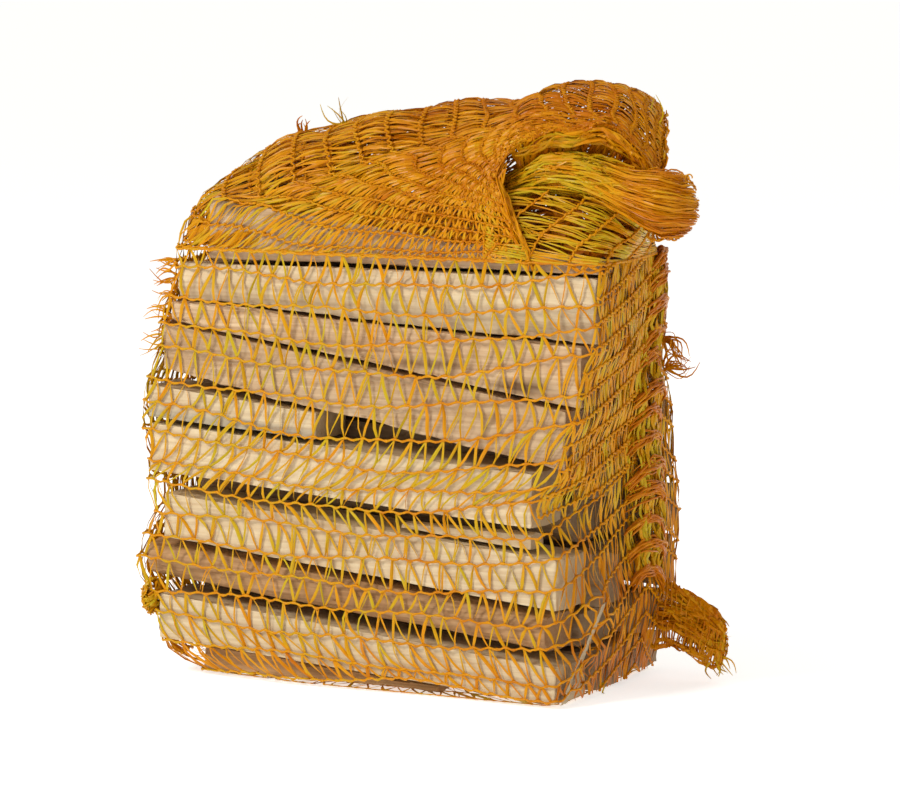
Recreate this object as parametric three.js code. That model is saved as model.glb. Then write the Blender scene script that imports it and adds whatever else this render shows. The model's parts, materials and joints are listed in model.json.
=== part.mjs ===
// A bundle of split kindling: courses of sawn and split sticks stacked in a knitted net bag.
// The sticks lie along X, the long side that shows most is at -Y, and the bag is gathered and
// folded over at the top of the +X end. Millimetres, +Z up, origin under the middle of the box.
import * as THREE from 'three';

// Driving dimensions.
const DEPTH = 140; // across the sticks, front to back
const FRONT_DEPTH = 38; // the front row of sticks
const FRONT_Y = -DEPTH / 2;
const BACK_Y = DEPTH / 2;
const REAR_Y = FRONT_Y + FRONT_DEPTH + 4; // where the courses behind the front row begin
const BASE_LIFT = 1.5; // the lowest sticks lie on the bag's bottom
const WALL = 0.9; // the bag's knitted wall
const SIDE_GAP = 1.4; // between neighbours in one course

const WOOD_PALE = 0xe3d3b0;
const WOOD_TAN = 0xc4a078;
const WOOD_BROWN = 0x8f6b47;
const NET_ORANGE = 0xdf9a1c;

const woodMaterial = (color) => new THREE.MeshStandardMaterial({ color, roughness: 0.8, metalness: 0 });
const netMaterial = new THREE.MeshStandardMaterial({ color: NET_ORANGE, roughness: 0.45, metalness: 0 });

// A closed body through rings of points, capped flat at its first and last ring.
function loft(rings) {
  const count = rings[0].length;
  const corners = rings.flat();
  const triangles = [];
  for (let ring = 0; ring + 1 < rings.length; ring++) {
    for (let k = 0; k < count; k++) {
      const a = ring * count + k;
      const b = ring * count + ((k + 1) % count);
      triangles.push(a, b, b + count, a, b + count, a + count);
    }
  }
  const last = (rings.length - 1) * count;
  for (let k = 1; k + 1 < count; k++) {
    triangles.push(0, k + 1, k);
    triangles.push(last, last + k, last + k + 1);
  }
  const geometry = new THREE.BufferGeometry().setFromPoints(corners);
  geometry.setIndex(triangles);
  return geometry;
}

// Outlines of a stick's cross-section in a unit square, anticlockwise seen from +X.
// The first number runs from front to back, the second from bottom to top.
const BOARD = [[0, 0.03], [0.5, 0], [1, 0.02], [0.98, 1], [0.5, 0.97], [0.02, 0.98]];
const RIDGED = [[0.08, 0], [0.55, 0.02], [0.97, 0], [1, 0.94], [0.04, 1], [0, 0.56]];
const SPLIT = [[0.04, 0.1], [0.6, 0], [1, 0.08], [0.94, 0.96], [0.4, 1], [0, 0.82]];
const CLEFT = [[0, 0.015], [0.6, 0], [1, 0.08], [0.94, 0.96], [0.4, 1], [0, 0.985]];
const WEDGE = [[0, 0.04], [0.5, 0], [1, 0.12], [0.97, 0.8], [0.5, 1], [0.05, 0.93]];
const ROUNDED = [[0.12, 0.08], [0.5, 0], [0.95, 0.05], [1, 0.9], [0.45, 1], [0.1, 0.93], [0, 0.7], [0.01, 0.3]];
const BARK_BACK = barkBack();

// A stick from the outside of the log: flat split faces in front, a round of bark behind.
function barkBack() {
  const arcSteps = 6;
  const outline = [[0.02, 0.04], [0.3, 0]];
  for (let k = 0; k <= arcSteps; k++) {
    const angle = -Math.PI / 2 + (Math.PI * k) / arcSteps;
    outline.push([0.62 + 0.38 * Math.cos(angle), 0.5 + 0.47 * Math.sin(angle)]);
  }
  outline.push([0.28, 1], [0, 0.95]);
  return outline;
}

// A stick between a left end and a right end, which each have {x, low, high}.
function stickGeometry(outline, front, back, left, right) {
  const ends = [left, right].map((end) =>
    outline.map(([u, v]) => {
      const y = THREE.MathUtils.lerp(front, back, u);
      return new THREE.Vector3(end.x, y, THREE.MathUtils.lerp(end.low, end.high, v));
    }),
  );
  return loft(ends);
}

const bundle = new THREE.Group();

function addStick(name, outline, color, front, back, left, right) {
  const stick = new THREE.Mesh(stickGeometry(outline, front, back, left, right), woodMaterial(color));
  stick.name = name;
  bundle.add(stick);
}

// The front row, from the bottom up: end distances from the middle, and heights at each end.
const FRONT_ROW = [
  { name: 'front_shim', outline: WEDGE, color: WOOD_BROWN, x: [-107, 35], left: [BASE_LIFT, 16], right: [BASE_LIFT, 5] },
  { name: 'front_base_board', outline: BOARD, color: WOOD_PALE, x: [-130, 107], left: [18.5, 44], right: [1.8, 22] },
  { name: 'front_round_stick', outline: ROUNDED, color: WOOD_BROWN, x: [-138.5, 100], left: [52, 72], right: [27.5, 48] },
  { name: 'front_white_board', outline: BOARD, color: WOOD_PALE, x: [-127, 107], left: [74, 99], right: [50.5, 78.5] },
  { name: 'front_sliver', outline: WEDGE, color: WOOD_TAN, x: [15, 90], left: [88, 91], right: [81.5, 90] },
  { name: 'front_square_stick', outline: BOARD, color: WOOD_PALE, x: [-135, 93], left: [110, 137], right: [93, 123] },
  { name: 'front_short_stick', outline: BOARD, color: WOOD_PALE, x: [-136, -34], left: [139.5, 157.5], right: [132.4, 147.5] },
  { name: 'front_wedge_stick', outline: CLEFT, color: WOOD_TAN, x: [-127, 112], left: [165, 192], right: [124.5, 156.2] },
  { name: 'front_knotty_stick', outline: CLEFT, color: WOOD_TAN, x: [-121, 121], left: [193, 203.6], right: [157.2, 189.6] },
  { name: 'front_ridged_stick', outline: RIDGED, color: WOOD_PALE, x: [-117, 129], left: [204.6, 224], right: [190.5, 225] },
  { name: 'front_top_board', outline: WEDGE, color: WOOD_TAN, x: [-99, 130], left: [226, 261], right: [226.6, 232] },
];
const FRONT_INSETS = [8, 0, 2, 1, 6, 0, 0.5, 1, 0.5, 0, 3];
const FRONT_WIDTHS = [34, 38, 34, 36, 16, 37, 35, 36, 37, 38, 35];

FRONT_ROW.forEach((row, k) => {
  const front = FRONT_Y + FRONT_INSETS[k];
  const left = { x: row.x[0], low: row.left[0], high: row.left[1] };
  const right = { x: row.x[1], low: row.right[0], high: row.right[1] };
  addStick(row.name, row.outline, row.color, front, front + FRONT_WIDTHS[k], left, right);
});

// The courses behind it. A course lies between two sloping planes, given by their heights at
// the left and the right end, and each stick in it starts at one cut and ends at the next.
const LEVEL_X = [-120, 112];
const LEVELS = [
  [BASE_LIFT, BASE_LIFT], [27, 24], [60, 47], [86, 78], [118, 104],
  [150, 127], [176, 157], [210, 183], [240, 212], [268, 236],
];
const COURSES = [
  { cuts: [REAR_Y, 5, 36, BACK_Y - 2], ends: [[-108, 109], [-106, 104], [-109, 105]] },
  { cuts: [REAR_Y, 12, 43, BACK_Y], ends: [[-127, 101], [-125, 112], [-126, 111]] },
  { cuts: [REAR_Y, 2, 40, BACK_Y - 1], ends: [[-131, 112], [-124, 97], [-127, 114]] },
  { cuts: [REAR_Y, 14, 38, BACK_Y], ends: [[-129, 96], [-126, 109], [-131, 115]] },
  { cuts: [REAR_Y, 6, 45, BACK_Y - 2], ends: [[-132, 111], [-125, 103], [-128, 112]] },
  { cuts: [REAR_Y, 0, 34, BACK_Y], ends: [[-130, 105], [-128, 113], [-125, 110]] },
  { cuts: [REAR_Y, 10, 42, BACK_Y - 1], ends: [[-129, 117], [-123, 110], [-127, 104]] },
  { cuts: [REAR_Y, 3, 37, BACK_Y - 3], ends: [[-120, 121], [-124, 112], [-118, 108]] },
  { cuts: [REAR_Y, 16, 44, BACK_Y - 8], ends: [[-117, 124], [-112, 109], [-108, 99]] },
];
const BARK_COURSES = new Set([1, 4, 5, 7]); // their back stick keeps its bark
const REAR_OUTLINES = [BOARD, SPLIT, ROUNDED, WEDGE, SPLIT, BOARD, RIDGED];
const REAR_COLORS = [WOOD_TAN, WOOD_PALE, WOOD_BROWN, WOOD_TAN, WOOD_PALE];
const SHORTFALLS = [0.6, 2.4, 1.2, 3.2, 0.8, 1.8, 2.8]; // a stick is this much thinner than its course

function levelHeight(level, x) {
  const share = (x - LEVEL_X[0]) / (LEVEL_X[1] - LEVEL_X[0]);
  return THREE.MathUtils.lerp(level[0], level[1], share);
}

COURSES.forEach((course, row) => {
  course.ends.forEach(([leftX, rightX], k) => {
    const turn = row * 3 + k;
    const shortfall = SHORTFALLS[turn % SHORTFALLS.length];
    const end = (x) => ({
      x,
      low: levelHeight(LEVELS[row], x) + 0.4,
      high: levelHeight(LEVELS[row + 1], x) - shortfall,
    });
    const bark = k === 2 && BARK_COURSES.has(row);
    const outline = bark ? BARK_BACK : REAR_OUTLINES[turn % REAR_OUTLINES.length];
    const color = bark ? WOOD_BROWN : REAR_COLORS[turn % REAR_COLORS.length];
    const front = course.cuts[k] + SIDE_GAP / 2;
    const back = course.cuts[k + 1] - SIDE_GAP / 2;
    addStick(`course_${row + 1}_stick_${k + 1}`, outline, color, front, back, end(leftX), end(rightX));
  });
});

// A thin split that has slipped down across the ends of the lowest sticks.
function splinterGeometry() {
  const halfThick = 1.6;
  const foot = { x: 111, y: -63, z: 2, half: 4.5 };
  const tip = { x: 117, y: -33, z: 50, half: 2.5 };
  const ring = ({ x, y, z, half }) => [
    new THREE.Vector3(x - halfThick, y - half, z),
    new THREE.Vector3(x + halfThick, y - half, z + 1),
    new THREE.Vector3(x + halfThick, y + half, z + 1.5),
    new THREE.Vector3(x - halfThick, y + half, z + 0.5),
  ];
  return loft([ring(foot), ring(tip)]);
}
const splinter = new THREE.Mesh(splinterGeometry(), woodMaterial(WOOD_PALE));
splinter.name = 'end_splinter';
bundle.add(splinter);

// Points round a square from -1 to 1 whose corners are rounded by a share of the half side.
const ARC_POINTS = 5;
const SIDE_POINTS = 8;
function roundedSquare(roundness) {
  const points = [];
  const straight = 1 - roundness;
  for (let corner = 0; corner < 4; corner++) {
    const start = -Math.PI / 2 + (corner * Math.PI) / 2;
    const mid = start + Math.PI / 4;
    const centre = [Math.sign(Math.cos(mid)) * straight, Math.sign(Math.sin(mid)) * straight];
    for (let k = 0; k < ARC_POINTS; k++) {
      const angle = start + (Math.PI / 2) * (k / (ARC_POINTS - 1));
      points.push([centre[0] + roundness * Math.cos(angle), centre[1] + roundness * Math.sin(angle)]);
    }
    const along = [-Math.sin(start + Math.PI / 2), Math.cos(start + Math.PI / 2)];
    const [x, y] = points[points.length - 1];
    for (let k = 1; k <= SIDE_POINTS; k++) {
      const run = (2 * straight * k) / (SIDE_POINTS + 1);
      points.push([x + along[0] * run, y + along[1] * run]);
    }
  }
  return points;
}

// One ring of the bag: four corner points, front left, front right, back right, back left.
// shrink pulls the ring inwards in millimetres, and lift moves it in Z.
const TAIL_POINT = ARC_POINTS + 6; // the seam's place on the +X side
function bagRing({ corners, roundness, tail = 0 }, shrink, lift) {
  const [frontLeft, frontRight, backRight, backLeft] = corners.map((c) => new THREE.Vector3(...c));
  const halfX = frontLeft.distanceTo(frontRight) / 2;
  const halfY = frontRight.distanceTo(backRight) / 2;
  return roundedSquare(roundness).map(([u, v], k) => {
    const shareX = (u * (1 - shrink / halfX) + 1) / 2;
    const shareY = (v * (1 - shrink / halfY) + 1) / 2;
    const front = frontLeft.clone().lerp(frontRight, shareX);
    const back = backLeft.clone().lerp(backRight, shareX);
    const point = front.lerp(back, shareY);
    point.z += lift;
    if (shrink === 0 && k === TAIL_POINT) {
      point.x += tail;
    }
    return point;
  });
}

// A level ring round the stack, wider on the left or right as the sticks push it out.
function sideRing(z, leftX, frontRightX, backRightX, roundness, tail) {
  const front = FRONT_Y - 4;
  const back = BACK_Y + 4;
  const corners = [[leftX, front, z], [frontRightX, front, z], [backRightX, back, z], [leftX, back, z]];
  return { corners, roundness, tail, innerLift: 0 };
}

// The rings from the middle of the bottom up the sides, over the stack and out along the neck,
// which folds over and hangs with its open mouth down.
const SIDE_ROUND = 0.09;
const BAG_RINGS = [
  { corners: [[-40, -20, 0], [40, -20, 0], [40, 20, 0], [-40, 20, 0]], roundness: 0.3, innerLift: WALL },
  { corners: [[-113, -69, 0], [117, -69, 0], [114, 69, 0], [-113, 69, 0]], roundness: SIDE_ROUND, innerLift: WALL },
  sideRing(3, -117, 119, 117, SIDE_ROUND, 0),
  sideRing(11, -123, 119, 117, SIDE_ROUND, 0),
  sideRing(16, -131, 120, 118, SIDE_ROUND, 30),
  sideRing(28, -139, 121, 119, SIDE_ROUND, 37),
  sideRing(40, -141, 122, 120, SIDE_ROUND, 30),
  sideRing(47, -141, 122, 120, SIDE_ROUND, 0),
  sideRing(90, -141, 120, 120, SIDE_ROUND, 0),
  sideRing(145, -141, 122, 119, SIDE_ROUND, 0),
  sideRing(178, -137, 131, 119, SIDE_ROUND, 0),
  sideRing(206, -131, 138, 119, SIDE_ROUND, 0),
  { corners: [[-127, -74, 228], [139, -74, 234], [118, 74, 236], [-127, 74, 234]], roundness: 0.1, innerLift: 0 },
  { corners: [[-120, -69, 266], [131, -68, 243], [113, 71, 246], [-121, 71, 272]], roundness: 0.14, innerLift: -WALL },
  { corners: [[-96, -58, 283], [119, -56, 264], [112, 62, 264], [-98, 62, 288]], roundness: 0.3, innerLift: -WALL },
  { corners: [[-46, -46, 300], [112, -44, 290], [107, 50, 289], [-48, 50, 302]], roundness: 0.6, innerLift: -WALL },
  { corners: [[20, -34, 313], [109, -32, 306], [105, 34, 305], [18, 34, 313]], roundness: 0.9, innerLift: -WALL },
  { corners: [[74, -26, 323], [113, -24, 309], [112, 20, 309], [72, 22, 322]], roundness: 0.95, innerLift: -WALL },
  { corners: [[112, -28, 321], [117, -26, 304], [117, 14, 304], [112, 16, 320]], roundness: 0.95, innerLift: 0 },
  { corners: [[141, -30, 304], [123, -28, 292], [123, 12, 292], [141, 14, 303]], roundness: 0.95, innerLift: 0 },
  { corners: [[157, -30, 275], [130, -29, 269], [130, 12, 269], [157, 14, 275]], roundness: 0.95, innerLift: 0 },
  { corners: [[157, -27, 249], [137, -26, 244], [137, 9, 244], [157, 11, 249]], roundness: 0.95, innerLift: 0 },
];

function bagGeometry() {
  const outer = BAG_RINGS.map((ring) => bagRing(ring, 0, 0));
  const inner = BAG_RINGS.map((ring) => bagRing(ring, WALL, ring.innerLift));
  return loft([...outer, ...inner.reverse()]);
}
const bag = new THREE.Mesh(bagGeometry(), netMaterial);
bag.name = 'net_bag';
bundle.add(bag);

// Stand the bundle on Z = 0 with the origin under the middle of its box.
bundle.updateMatrixWorld(true);
const box = new THREE.Box3().setFromObject(bundle);
const middle = box.getCenter(new THREE.Vector3());
bundle.position.set(-middle.x, -middle.y, -box.min.z);

export default bundle;
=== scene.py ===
"""A bundle of split kindling in a knitted net bag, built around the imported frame. Metres, +Z up."""

import json
import math

import bpy
import numpy as np
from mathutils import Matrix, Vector, noise
from mathutils.bvhtree import BVHTree


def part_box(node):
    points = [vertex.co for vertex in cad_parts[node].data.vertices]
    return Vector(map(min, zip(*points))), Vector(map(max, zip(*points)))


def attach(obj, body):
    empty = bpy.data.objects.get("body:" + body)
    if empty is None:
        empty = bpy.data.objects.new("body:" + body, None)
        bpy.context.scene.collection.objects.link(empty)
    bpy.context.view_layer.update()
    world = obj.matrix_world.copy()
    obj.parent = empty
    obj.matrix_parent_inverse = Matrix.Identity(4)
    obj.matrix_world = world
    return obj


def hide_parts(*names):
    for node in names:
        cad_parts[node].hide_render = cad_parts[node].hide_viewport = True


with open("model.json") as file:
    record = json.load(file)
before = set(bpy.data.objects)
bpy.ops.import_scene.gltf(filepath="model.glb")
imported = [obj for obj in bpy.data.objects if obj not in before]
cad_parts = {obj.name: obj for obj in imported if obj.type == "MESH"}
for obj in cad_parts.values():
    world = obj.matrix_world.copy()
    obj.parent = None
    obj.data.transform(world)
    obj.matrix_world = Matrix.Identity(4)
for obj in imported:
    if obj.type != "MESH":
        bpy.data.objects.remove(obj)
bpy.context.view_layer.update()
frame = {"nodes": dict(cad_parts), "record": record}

MM = 0.001
scene = bpy.context.scene
BAG = "net_bag"
STICKS = sorted(name for name in frame["nodes"] if name != BAG)
SLOT_OF = {part["node"]: part["material_slot"] for part in frame["record"]["subparts"]}


# ---------------------------------------------------------------- camera, floor and light

VIEW_AZIMUTH = math.radians(27.0)
VIEW_DISTANCE = 2.2
VIEW_SHIFT = -8 * MM  # the camera's place along the bundle
VIEW_HEIGHT = 0.408
VIEW_LENS = 163.8
AIM = Vector((0.0013, 0.0042, 0.1458))
FLOOR_HALF = 40.0
LIGHT_AIM = Vector((0, 0, 0.15))


def add_camera():
    """A long lens, a little above the bundle and to the right of its long side."""
    data = bpy.data.cameras.new("camera")
    data.lens = VIEW_LENS
    data.sensor_width = 36.0
    data.clip_end = 20.0
    camera = bpy.data.objects.new("camera", data)
    x = VIEW_DISTANCE * math.sin(VIEW_AZIMUTH) + VIEW_SHIFT
    camera.location = (x, -VIEW_DISTANCE * math.cos(VIEW_AZIMUTH), VIEW_HEIGHT)
    camera.rotation_euler = (AIM - camera.location).to_track_quat("-Z", "Y").to_euler()
    scene.collection.objects.link(camera)
    scene.camera = camera


def add_light(name, place, size, watts, tint=(1.0, 1.0, 1.0)):
    """A square lamp turned to the middle of the bundle."""
    data = bpy.data.lights.new(name, "AREA")
    data.size = size
    data.energy = watts
    data.color = tint
    light = bpy.data.objects.new(name, data)
    light.location = place
    light.rotation_euler = (LIGHT_AIM - light.location).to_track_quat("-Z", "Y").to_euler()
    scene.collection.objects.link(light)


def add_floor():
    """A pale floor that glows a little, so that it runs out to white."""
    mesh = bpy.data.meshes.new("studio_floor")
    corners = [(x * FLOOR_HALF, y * FLOOR_HALF, 0) for x, y in ((-1, -1), (1, -1), (1, 1), (-1, 1))]
    mesh.from_pydata(corners, [], [(0, 1, 2, 3)])
    floor = bpy.data.objects.new("studio_floor", mesh)
    scene.collection.objects.link(floor)
    material = bpy.data.materials.new("studio_floor")
    material.use_nodes = True
    shader = material.node_tree.nodes["Principled BSDF"]
    shader.inputs["Base Color"].default_value = (0.84, 0.88, 0.93, 1)
    shader.inputs["Roughness"].default_value = 0.9
    shader.inputs["Emission Color"].default_value = (1.0, 1.0, 1.0, 1)
    shader.inputs["Emission Strength"].default_value = 0.58
    mesh.materials.append(material)


def add_studio():
    """A soft warm room with a window at the left, seen as plain white."""
    world = bpy.data.worlds.new("studio")
    world.use_nodes = True
    tree = world.node_tree
    background = tree.nodes["Background"]
    path = tree.nodes.new("ShaderNodeLightPath")
    level = tree.nodes.new("ShaderNodeMapRange")
    level.inputs["To Min"].default_value = 0.5  # what lights the bundle
    level.inputs["To Max"].default_value = 1.05  # what stands behind it
    tree.links.new(path.outputs["Is Camera Ray"], level.inputs["Value"])
    tree.links.new(level.outputs["Result"], background.inputs["Strength"])
    tint = tree.nodes.new("ShaderNodeMix")
    tint.data_type = "RGBA"
    tint.inputs["A"].default_value = (1.0, 0.95, 0.85, 1)
    tint.inputs["B"].default_value = (1.0, 1.0, 1.0, 1)
    tree.links.new(path.outputs["Is Camera Ray"], tint.inputs["Factor"])
    tree.links.new(tint.outputs["Result"], background.inputs["Color"])
    scene.world = world
    scene.view_settings.view_transform = "Standard"
    add_light("window", (-0.9, -1.6, 1.7), 0.6, 31, (1.0, 0.95, 0.88))
    add_light("fill", (1.8, -1.0, 0.9), 1.2, 2.5, (1.0, 0.93, 0.84))
    add_light("back", (0.3, 1.8, 1.4), 1.2, 5)


add_camera()
add_floor()
add_studio()


# ---------------------------------------------------------------- shader helpers


class Shading:
    """Places and joins nodes in one node tree."""

    def __init__(self, tree):
        self.tree = tree

    def node(self, kind, **settings):
        item = self.tree.nodes.new(kind)
        for name, value in settings.items():
            setattr(item, name, value)
        return item

    def join(self, source, target):
        self.tree.links.new(source, target)

    def feed(self, target, value):
        if isinstance(value, bpy.types.NodeSocket):
            self.join(value, target)
        else:
            target.default_value = value

    def math(self, operation, a, b=0.0):
        item = self.node("ShaderNodeMath", operation=operation)
        self.feed(item.inputs[0], a)
        self.feed(item.inputs[1], b)
        return item.outputs[0]

    def mix(self, share, a, b):
        item = self.node("ShaderNodeMix", data_type="RGBA")
        self.feed(item.inputs["Factor"], share)
        self.feed(item.inputs["A"], a)
        self.feed(item.inputs["B"], b)
        return item.outputs["Result"]

    def ramp(self, value, low, high, bottom=0.0, top=1.0):
        """bottom at low and top at high, and level past them."""
        item = self.node("ShaderNodeMapRange", clamp=True)
        self.feed(item.inputs["Value"], value)
        item.inputs["From Min"].default_value = low
        item.inputs["From Max"].default_value = high
        item.inputs["To Min"].default_value = bottom
        item.inputs["To Max"].default_value = top
        return item.outputs["Result"]

    def attribute(self, name, output="Fac"):
        return self.node("ShaderNodeAttribute", attribute_name=name).outputs[output]

    def noise(self, place, scale, detail=3.0, rough=0.55):
        item = self.node("ShaderNodeTexNoise")
        self.join(place, item.inputs["Vector"])
        item.inputs["Scale"].default_value = scale
        item.inputs["Detail"].default_value = detail
        item.inputs["Roughness"].default_value = rough
        return item.outputs["Fac"]

    def stretched(self, place, scale):
        item = self.node("ShaderNodeMapping")
        self.join(place, item.inputs["Vector"])
        item.inputs["Scale"].default_value = scale
        return item.outputs["Vector"]


def new_group(name, inputs, outputs):
    """An empty shader group with its sockets, and what is needed to fill it."""
    tree = bpy.data.node_groups.new(name, "ShaderNodeTree")
    for label, kind, value in inputs:
        socket = tree.interface.new_socket(label, in_out="INPUT", socket_type=kind)
        if value is not None:
            socket.default_value = value
    for label, kind in outputs:
        tree.interface.new_socket(label, in_out="OUTPUT", socket_type=kind)
    shading = Shading(tree)
    return tree, shading, shading.node("NodeGroupInput"), shading.node("NodeGroupOutput")


# ---------------------------------------------------------------- wood finishes

RING_SPACING = 2.3 * MM


def build_grain_group():
    """Growth rings cut through in any direction, long fibres, and fine saw fuzz."""
    inputs = [("Rings", "NodeSocketFloat", 0.5), ("Fibres", "NodeSocketFloat", 0.5)]
    outputs = [
        ("Ring Mask", "NodeSocketFloat"),
        ("Fibre Mask", "NodeSocketFloat"),
        ("Patch Mask", "NodeSocketFloat"),
        ("Height", "NodeSocketFloat"),
    ]
    tree, s, given, out = new_group("wood_grain", inputs, outputs)
    place = s.node("ShaderNodeTexCoord").outputs["Object"]
    shift = s.attribute("grain_shift", "Vector")
    moved = s.node("ShaderNodeVectorMath", operation="ADD")
    s.join(place, moved.inputs[0])
    s.join(shift, moved.inputs[1])
    moved = moved.outputs["Vector"]

    # rings: distance in the cross-section from the log's middle, which lies off the stick
    centre = s.attribute("log_middle", "Vector")
    offset = s.node("ShaderNodeVectorMath", operation="SUBTRACT")
    s.join(place, offset.inputs[0])
    s.join(centre, offset.inputs[1])
    flat = s.stretched(offset.outputs["Vector"], (0.0, 1.0, 1.0))
    length = s.node("ShaderNodeVectorMath", operation="LENGTH")
    s.join(flat, length.inputs[0])
    sway = s.noise(s.stretched(moved, (9.0, 22.0, 22.0)), 1.0, 2.0)
    swayed = s.math("MULTIPLY_ADD", sway, 0.012)
    s.join(length.outputs["Value"], swayed.node.inputs[2])
    turns = s.math("DIVIDE", swayed, RING_SPACING)
    saw = s.math("FRACT", turns)
    ring = s.math("POWER", saw, 2.2)

    fibres = s.noise(s.stretched(moved, (14.0, 520.0, 520.0)), 1.0, 4.0, 0.6)
    streaks = s.noise(s.stretched(moved, (5.0, 90.0, 90.0)), 1.0, 3.0, 0.6)
    patches = s.noise(s.stretched(moved, (8.0, 26.0, 26.0)), 1.0, 3.0, 0.55)
    ring_mask = s.math("MULTIPLY", ring, given.outputs["Rings"])
    fibre_mask = s.math("MULTIPLY", s.ramp(fibres, 0.35, 0.7), given.outputs["Fibres"])
    s.join(ring_mask, out.inputs["Ring Mask"])
    s.join(s.math("ADD", fibre_mask, s.ramp(streaks, 0.5, 0.75, 0.0, 0.5)), out.inputs["Fibre Mask"])
    s.join(s.ramp(patches, 0.42, 0.68), out.inputs["Patch Mask"])
    height = s.math("ADD", s.math("MULTIPLY", fibres, 0.7), s.math("MULTIPLY", ring, 0.25))
    s.join(height, out.inputs["Height"])
    return tree


GRAIN = build_grain_group()


def wood_material(name, pale, tan, dark, rings, fibres, patch_share):
    """Wood with grain, bark, knots, stains and darker cut ends, which its sticks say the place of."""
    material = bpy.data.materials.new(name)
    material.use_nodes = True
    s = Shading(material.node_tree)
    shader = material.node_tree.nodes["Principled BSDF"]
    grain = s.node("ShaderNodeGroup")
    grain.node_tree = GRAIN
    grain.inputs["Rings"].default_value = rings
    grain.inputs["Fibres"].default_value = fibres

    patch = s.math("MULTIPLY", grain.outputs["Patch Mask"], patch_share)
    wood = s.mix(patch, (*pale, 1), (*tan, 1))
    wood = s.mix(s.math("MULTIPLY", grain.outputs["Ring Mask"], 0.7), wood, (*tan, 1))
    wood = s.mix(s.math("MULTIPLY", grain.outputs["Fibre Mask"], 0.6), wood, (*dark, 1))
    # the log's weather-worn outside, knots, and a grey-blue stain low on the sapwood
    bark = s.attribute("bark")
    rind_noise = s.noise(s.node("ShaderNodeTexCoord").outputs["Object"], 130.0, 4.0)
    rind = s.mix(s.ramp(rind_noise, 0.35, 0.65), (0.17, 0.105, 0.055, 1), (0.36, 0.29, 0.15, 1))
    wood = s.mix(bark, wood, rind)
    # the knot mask also carries painted shade on the ridged stick's lower facet
    wood = s.mix(s.attribute("knot"), wood, (0.16, 0.085, 0.04, 1))
    wood = s.mix(s.math("MULTIPLY", s.attribute("stain"), 0.5), wood, (0.26, 0.27, 0.25, 1))
    cut = s.math("MULTIPLY", s.attribute("cut_end"), 0.7)
    wood = s.mix(cut, wood, (*[0.75 * part for part in tan], 1))
    # the tone differs at random from stick to stick, and holds painted shade on the sticks behind the front
    # ones
    tone_and_shade = s.attribute("tone_and_shade")
    toned = s.node("ShaderNodeHueSaturation")
    s.join(wood, toned.inputs["Color"])
    s.join(tone_and_shade, toned.inputs["Value"])
    s.join(toned.outputs["Color"], shader.inputs["Base Color"])
    s.join(s.ramp(grain.outputs["Fibre Mask"], 0.0, 1.0, 0.62, 0.82), shader.inputs["Roughness"])
    shader.inputs["Specular IOR Level"].default_value = 0.25
    bump = s.node("ShaderNodeBump")
    bump.inputs["Strength"].default_value = 0.55
    bump.inputs["Distance"].default_value = 0.5 * MM
    s.join(grain.outputs["Height"], bump.inputs["Height"])
    s.join(bump.outputs["Normal"], shader.inputs["Normal"])
    return material


WOODS = {
    "pale_wood": wood_material(
        "pale sapwood", (0.84, 0.71, 0.48), (0.70, 0.51, 0.29), (0.46, 0.28, 0.13), 0.5, 0.75, 0.4
    ),
    "tan_wood": wood_material(
        "tan heartwood", (0.76, 0.57, 0.36), (0.60, 0.39, 0.21), (0.34, 0.18, 0.08), 0.7, 0.9, 0.7
    ),
    "bark_wood": wood_material(
        "brown split wood", (0.64, 0.40, 0.20), (0.46, 0.25, 0.11), (0.22, 0.11, 0.04), 0.7, 1.0, 0.9
    ),
}


# ---------------------------------------------------------------- sticks

SAWN = {"front_base_board", "front_white_board", "front_square_stick", "front_short_stick", "front_sliver"}
BARKED = {"course_2_stick_3", "course_5_stick_3", "course_6_stick_3", "course_8_stick_3"}
FRONT_STEP = 2.2 * MM  # between the points of a stick that shows in front
BACK_STEP = 3.4 * MM
CAP_SIZES = (0.975, 0.8, 0.6, 0.4, 0.2)  # rings of a cut end, as shares of its outline
CHAMFER = 0.3 * MM
SHARP_ANGLE = math.radians(38)


def distinct(points, tolerance=0.05 * MM):
    """The points without those that repeat an earlier one."""
    kept = []
    for point in points:
        if all(np.abs(point - other).max() > tolerance for other in kept):
            kept.append(point)
    return np.array(kept)


def end_outlines(node):
    """The outline of a stick's left and right end, anticlockwise seen from +X, point for point."""
    points = distinct(np.array([v.co for v in frame["nodes"][node].data.vertices]))
    left, right = (
        points[np.abs(points[:, 0] - end) < 0.3 * MM] for end in (points[:, 0].min(), points[:, 0].max())
    )
    middle = left.mean(axis=0)
    left = left[np.argsort(np.arctan2(left[:, 2] - middle[2], left[:, 1] - middle[1]))]
    above = right[:, 2] > right[:, 2].mean()
    used = np.zeros(len(right), bool)
    partner = []
    for point in left:
        unlike = above != (point[2] > middle[2])
        chosen = int(np.argmin(np.abs(right[:, 1] - point[1]) + 0.01 * unlike + 9.0 * used))
        used[chosen] = True
        partner.append(right[chosen])
    return left, np.array(partner)


def spaced(outline, step):
    """Edge and share along it of points that lie about a step apart round a closed outline."""
    shares = []
    for k, span in enumerate(np.linalg.norm(np.roll(outline, -1, axis=0) - outline, axis=1)):
        count = max(1, round(span / step))
        shares.extend((k, j / count) for j in range(count))
    return shares


def between(first, last, rows):
    """Rows of points that run evenly from one path to another."""
    share = np.linspace(0, 1, rows)[:, None, None]
    return first[None] * (1 - share) + last[None] * share


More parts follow.
